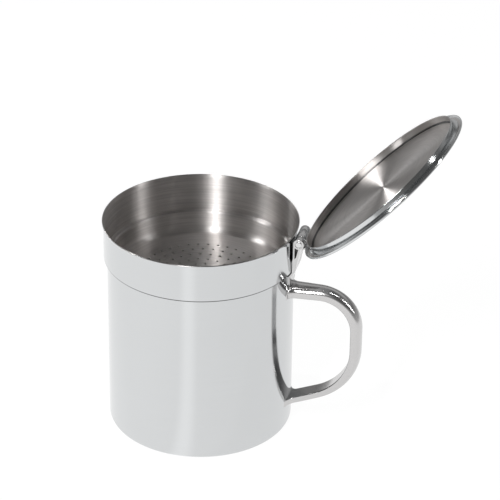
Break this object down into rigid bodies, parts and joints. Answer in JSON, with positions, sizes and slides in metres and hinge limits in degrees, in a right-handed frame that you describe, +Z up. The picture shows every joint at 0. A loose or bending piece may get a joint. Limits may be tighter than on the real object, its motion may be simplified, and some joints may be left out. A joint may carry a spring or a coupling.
{
  "type": "bacon grease container",
  "caption": "Round steel pot with a loop handle, a lift-out strainer cup seated on its rim and a hinged lid with a plug ring.",
  "frame": {"origin": "centre of the flat base that the pot stands on, on the pot's axis", "axes": "+Z up along the pot's axis; +X towards the handle and the hinge; the hinge pin runs along Y"},
  "size_m": [0.2079, 0.1178, 0.2086],
  "materials": {
    "pot_steel": "stainless sheet, mirror polished outside and satin inside",
    "handle_steel": "polished stainless strap",
    "hinge_steel": "polished stainless strip and pin",
    "strainer_steel": "stainless sheet, mirror polished band, fine turned brushing inside",
    "lid_steel": "stainless sheet, satin brushed underside"
  },
  "bodies": {
    "pot": {"pot_shell": "pot_steel", "handle": "handle_steel", "hinge_bracket": "hinge_steel", "hinge_pin": "hinge_steel"},
    "strainer": {"strainer_cup": "strainer_steel"},
    "lid": {"lid_cover": "lid_steel", "lid_plug": "lid_steel", "lid_leaf": "hinge_steel"}
  },
  "joints": [
    {"name": "lid_hinge", "type": "hinge", "parent": "pot", "child": "lid", "pos_m": [0.0608, 0, 0.1278], "axis": [0, -1, 0], "range_deg": [0, 136]},
    {"name": "strainer_lift", "type": "slide", "parent": "pot", "child": "strainer", "axis": [0, 0, 1], "range_m": [0, 0.06]}
  ]
}
